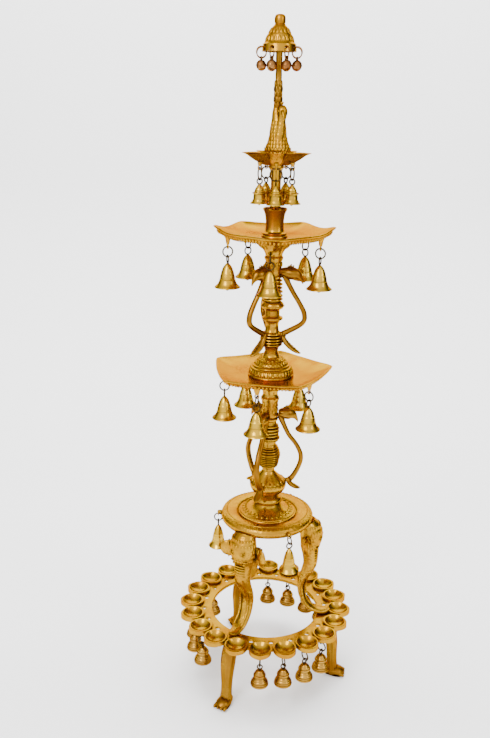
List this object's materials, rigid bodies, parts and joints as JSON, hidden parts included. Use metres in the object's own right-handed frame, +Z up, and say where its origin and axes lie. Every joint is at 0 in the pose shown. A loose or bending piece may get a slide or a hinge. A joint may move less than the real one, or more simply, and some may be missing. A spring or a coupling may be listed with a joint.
{
  "type": "standing oil lamp",
  "caption": "Tall brass standing oil lamp: a ring of oil cups on elephant-headed legs, a turned stem with bird brackets, stacked trays, hanging bells, a peacock and a canopy.",
  "frame": {"origin": "on the floor, under the middle of the lamp's stem", "axes": "+Z up along the stem, the lamp's longest extent; front faces -Y; +X to the viewer's right"},
  "size_m": [0.3338, 0.3338, 1.216],
  "materials": {
    "polished_brass": "cast brass, polished, with darker recesses",
    "bright_brass": "spun and engraved brass, brightly polished",
    "aged_brass": "cast brass with an orange-brown patina in the recesses",
    "bell_brass": "turned brass bells with darkened wire rings",
    "ghungroo_bronze": "small cast jingle bells, reddish bronze",
    "dark_steel": "plain steel studs and bolts, hidden inside"
  },
  "bodies": {
    "stand": {"diya_ring": "polished_brass", "front_leg": "aged_brass", "right_leg": "aged_brass", "back_leg": "aged_brass", "paw_feet": "aged_brass", "stool_top": "polished_brass", "lower_stem": "polished_brass", "lower_bird_brackets": "aged_brass", "lower_tray": "bright_brass", "dome_base": "polished_brass", "upper_stem": "polished_brass", "upper_bird_brackets": "aged_brass", "middle_tray": "bright_brass", "waisted_column": "bright_brass", "top_tray": "bright_brass", "peacock": "polished_brass", "canopy_pole": "aged_brass", "canopy": "bright_brass", "canopy_knob": "bright_brass", "assembly_studs": "dark_steel"},
    "ring_bell_1": {"ring_bell_1": "bell_brass"},
    "ring_bell_2": {"ring_bell_2": "bell_brass"},
    "ring_bell_3": {"ring_bell_3": "bell_brass"},
    "ring_bell_4": {"ring_bell_4": "bell_brass"},
    "ring_bell_5": {"ring_bell_5": "bell_brass"},
    "ring_bell_6": {"ring_bell_6": "bell_brass"},
    "ring_bell_7": {"ring_bell_7": "bell_brass"},
    "ring_bell_8": {"ring_bell_8": "bell_brass"},
    "ring_bell_9": {"ring_bell_9": "bell_brass"},
    "ring_bell_10": {"ring_bell_10": "bell_brass"},
    "ring_bell_11": {"ring_bell_11": "bell_brass"},
    "ring_bell_12": {"ring_bell_12": "bell_brass"},
    "ring_bell_13": {"ring_bell_13": "bell_brass"},
    "ring_bell_14": {"ring_bell_14": "bell_brass"},
    "stool_bell_1": {"stool_bell_1": "bell_brass"},
    "stool_bell_2": {"stool_bell_2": "bell_brass"},
    "stool_bell_3": {"stool_bell_3": "bell_brass"},
    "lower_bell_1": {"lower_bell_1": "bell_brass"},
    "lower_bell_2": {"lower_bell_2": "bell_brass"},
    "lower_bell_3": {"lower_bell_3": "bell_brass"},
    "lower_bell_4": {"lower_bell_4": "bell_brass"},
    "lower_bell_5": {"lower_bell_5": "bell_brass"},
    "middle_bell_1": {"middle_bell_1": "bell_brass"},
    "middle_bell_2": {"middle_bell_2": "bell_brass"},
    "middle_bell_3": {"middle_bell_3": "bell_brass"},
    "middle_bell_4": {"middle_bell_4": "bell_brass"},
    "middle_bell_5": {"middle_bell_5": "bell_brass"},
    "top_bell_1": {"top_bell_1": "bell_brass"},
    "top_bell_2": {"top_bell_2": "bell_brass"},
    "top_bell_3": {"top_bell_3": "bell_brass"},
    "top_bell_4": {"top_bell_4": "bell_brass"},
    "top_bell_5": {"top_bell_5": "bell_brass"},
    "jingle_bell_1": {"jingle_bell_1": "ghungroo_bronze"},
    "jingle_bell_2": {"jingle_bell_2": "ghungroo_bronze"},
    "jingle_bell_3": {"jingle_bell_3": "ghungroo_bronze"},
    "jingle_bell_4": {"jingle_bell_4": "ghungroo_bronze"},
    "jingle_bell_5": {"jingle_bell_5": "ghungroo_bronze"},
    "jingle_bell_6": {"jingle_bell_6": "ghungroo_bronze"},
    "jingle_bell_7": {"jingle_bell_7": "ghungroo_bronze"},
    "jingle_bell_8": {"jingle_bell_8": "ghungroo_bronze"}
  },
  "joints": [
    {"name": "ring_bell_1_swing", "type": "hinge", "parent": "stand", "child": "ring_bell_1", "pos_m": [-0.0058, -0.13848, 0.1254], "axis": [0.9991, -0.0419, 0], "range_deg": [-20, 20]},
    {"name": "ring_bell_2_swing", "type": "hinge", "parent": "stand", "child": "ring_bell_2", "pos_m": [0.03727, -0.13349, 0.1254], "axis": [0.9632, 0.2689, 0], "range_deg": [-20, 20]},
    {"name": "ring_bell_3_swing", "type": "hinge", "parent": "stand", "child": "ring_bell_3", "pos_m": [0.0767, -0.11544, 0.1254], "axis": [0.8329, 0.5534, 0], "range_deg": [-20, 20]},
    {"name": "ring_bell_4_swing", "type": "hinge", "parent": "stand", "child": "ring_bell_4", "pos_m": [0.10862, -0.08609, 0.1254], "axis": [0.6211, 0.7837, 0], "range_deg": [-20, 20]},
    {"name": "ring_bell_5_swing", "type": "hinge", "parent": "stand", "child": "ring_bell_5", "pos_m": [0.13349, 0.03727, 0.1254], "axis": [-0.2689, 0.9632, 0], "range_deg": [-20, 20]},
    {"name": "ring_bell_6_swing", "type": "hinge", "parent": "stand", "child": "ring_bell_6", "pos_m": [0.11544, 0.0767, 0.1254], "axis": [-0.5534, 0.8329, 0], "range_deg": [-20, 20]},
    {"name": "ring_bell_7_swing", "type": "hinge", "parent": "stand", "child": "ring_bell_7", "pos_m": [0.08609, 0.10862, 0.1254], "axis": [-0.7837, 0.6211, 0], "range_deg": [-20, 20]},
    {"name": "ring_bell_8_swing", "type": "hinge", "parent": "stand", "child": "ring_bell_8", "pos_m": [0.04831, 0.12991, 0.1254], "axis": [-0.9373, 0.3486, 0], "range_deg": [-20, 20]},
    {"name": "ring_bell_9_swing", "type": "hinge", "parent": "stand", "child": "ring_bell_9", "pos_m": [0.0058, 0.13848, 0.1254], "axis": [-0.9991, 0.0419, 0], "range_deg": [-20, 20]},
    {"name": "ring_bell_10_swing", "type": "hinge", "parent": "stand", "child": "ring_bell_10", "pos_m": [-0.10862, 0.08609, 0.1254], "axis": [-0.6211, -0.7837, 0], "range_deg": [-20, 20]},
    {"name": "ring_bell_11_swing", "type": "hinge", "parent": "stand", "child": "ring_bell_11", "pos_m": [-0.12991, 0.04831, 0.1254], "axis": [-0.3486, -0.9373, 0], "range_deg": [-20, 20]},
    {"name": "ring_bell_12_swing", "type": "hinge", "parent": "stand", "child": "ring_bell_12", "pos_m": [-0.13848, 0.0058, 0.1254], "axis": [-0.0419, -0.9991, 0], "range_deg": [-20, 20]},
    {"name": "ring_bell_13_swing", "type": "hinge", "parent": "stand", "child": "ring_bell_13", "pos_m": [-0.13349, -0.03727, 0.1254], "axis": [0.2689, -0.9632, 0], "range_deg": [-20, 20]},
    {"name": "ring_bell_14_swing", "type": "hinge", "parent": "stand", "child": "ring_bell_14", "pos_m": [-0.11544, -0.0767, 0.1254], "axis": [0.5534, -0.8329, 0], "range_deg": [-20, 20]},
    {"name": "stool_bell_1_swing", "type": "hinge", "parent": "stand", "child": "stool_bell_1", "pos_m": [-0.0925, 0, 0.335], "axis": [-1, 0, 0], "range_deg": [-20, 20]},
    {"name": "stool_bell_2_swing", "type": "hinge", "parent": "stand", "child": "stool_bell_2", "pos_m": [0.04199, -0.08242, 0.335], "axis": [0.454, -0.891, 0], "range_deg": [-20, 20]},
    {"name": "stool_bell_3_swing", "type": "hinge", "parent": "stand", "child": "stool_bell_3", "pos_m": [0.04625, 0.08011, 0.335], "axis": [0.5, 0.866, 0], "range_deg": [-20, 20]},
    {"name": "lower_bell_1_swing", "type": "hinge", "parent": "stand", "child": "lower_bell_1", "pos_m": [-0.08299, -0.00145, 0.6005], "axis": [-0.9998, -0.0175, 0], "range_deg": [-25, 25]},
    {"name": "lower_bell_2_swing", "type": "hinge", "parent": "stand", "child": "lower_bell_2", "pos_m": [-0.02288, -0.07978, 0.6005], "axis": [-0.2756, -0.9613, 0], "range_deg": [-25, 25]},
    {"name": "lower_bell_3_swing", "type": "hinge", "parent": "stand", "child": "lower_bell_3", "pos_m": [0.06799, -0.04761, 0.6005], "axis": [0.8192, -0.5736, 0], "range_deg": [-25, 25]},
    {"name": "lower_bell_4_swing", "type": "hinge", "parent": "stand", "child": "lower_bell_4", "pos_m": [0.05445, 0.06264, 0.6005], "axis": [0.6561, 0.7547, 0], "range_deg": [-25, 25]},
    {"name": "lower_bell_5_swing", "type": "hinge", "parent": "stand", "child": "lower_bell_5", "pos_m": [-0.04641, 0.06881, 0.6005], "axis": [-0.5592, 0.829, 0], "range_deg": [-25, 25]},
    {"name": "middle_bell_1_swing", "type": "hinge", "parent": "stand", "child": "middle_bell_1", "pos_m": [-0.07842, -0.02397, 0.8485], "axis": [-0.9563, -0.2924, 0], "range_deg": [-25, 25]},
    {"name": "middle_bell_2_swing", "type": "hinge", "parent": "stand", "child": "middle_bell_2", "pos_m": [-0.00572, -0.0818, 0.8485], "axis": [-0.0698, -0.9976, 0], "range_deg": [-25, 25]},
    {"name": "middle_bell_3_swing", "type": "hinge", "parent": "stand", "child": "middle_bell_3", "pos_m": [0.07842, -0.02397, 0.8485], "axis": [0.9563, -0.2924, 0], "range_deg": [-25, 25]},
    {"name": "middle_bell_4_swing", "type": "hinge", "parent": "stand", "child": "middle_bell_4", "pos_m": [0.05592, 0.05997, 0.8485], "axis": [0.682, 0.7314, 0], "range_deg": [-25, 25]},
    {"name": "middle_bell_5_swing", "type": "hinge", "parent": "stand", "child": "middle_bell_5", "pos_m": [-0.04703, 0.06717, 0.8485], "axis": [-0.5736, 0.8192, 0], "range_deg": [-25, 25]},
    {"name": "top_bell_1_swing", "type": "hinge", "parent": "stand", "child": "top_bell_1", "pos_m": [0, -0.0285, 0.9788], "axis": [-1, 0, 0], "range_deg": [-1, 25]},
    {"name": "top_bell_2_swing", "type": "hinge", "parent": "stand", "child": "top_bell_2", "pos_m": [0.02711, -0.00881, 0.9788], "axis": [-0.309, -0.9511, 0], "range_deg": [-1, 25]},
    {"name": "top_bell_3_swing", "type": "hinge", "parent": "stand", "child": "top_bell_3", "pos_m": [0.01675, 0.02306, 0.9788], "axis": [0.809, -0.5878, 0], "range_deg": [-1, 25]},
    {"name": "top_bell_4_swing", "type": "hinge", "parent": "stand", "child": "top_bell_4", "pos_m": [-0.01675, 0.02306, 0.9788], "axis": [0.809, 0.5878, 0], "range_deg": [-1, 25]},
    {"name": "top_bell_5_swing", "type": "hinge", "parent": "stand", "child": "top_bell_5", "pos_m": [-0.02711, -0.00881, 0.9788], "axis": [-0.309, 0.9511, 0], "range_deg": [-1, 25]},
    {"name": "jingle_bell_1_swing", "type": "hinge", "parent": "stand", "child": "jingle_bell_1", "pos_m": [0.01186, -0.02864, 1.15891], "axis": [-0.9239, -0.3827, 0], "range_deg": [-10, 15]},
    {"name": "jingle_bell_2_swing", "type": "hinge", "parent": "stand", "child": "jingle_bell_2", "pos_m": [0.02864, -0.01186, 1.15891], "axis": [-0.3827, -0.9239, 0], "range_deg": [-10, 15]},
    {"name": "jingle_bell_3_swing", "type": "hinge", "parent": "stand", "child": "jingle_bell_3", "pos_m": [0.02864, 0.01186, 1.15891], "axis": [0.3827, -0.9239, 0], "range_deg": [-10, 15]},
    {"name": "jingle_bell_4_swing", "type": "hinge", "parent": "stand", "child": "jingle_bell_4", "pos_m": [0.01186, 0.02864, 1.15891], "axis": [0.9239, -0.3827, 0], "range_deg": [-10, 15]},
    {"name": "jingle_bell_5_swing", "type": "hinge", "parent": "stand", "child": "jingle_bell_5", "pos_m": [-0.01186, 0.02864, 1.15891], "axis": [0.9239, 0.3827, 0], "range_deg": [-10, 15]},
    {"name": "jingle_bell_6_swing", "type": "hinge", "parent": "stand", "child": "jingle_bell_6", "pos_m": [-0.02864, 0.01186, 1.15891], "axis": [0.3827, 0.9239, 0], "range_deg": [-10, 15]},
    {"name": "jingle_bell_7_swing", "type": "hinge", "parent": "stand", "child": "jingle_bell_7", "pos_m": [-0.02864, -0.01186, 1.15891], "axis": [-0.3827, 0.9239, 0], "range_deg": [-10, 15]},
    {"name": "jingle_bell_8_swing", "type": "hinge", "parent": "stand", "child": "jingle_bell_8", "pos_m": [-0.01186, -0.02864, 1.15891], "axis": [-0.9239, 0.3827, 0], "range_deg": [-10, 15]}
  ]
}
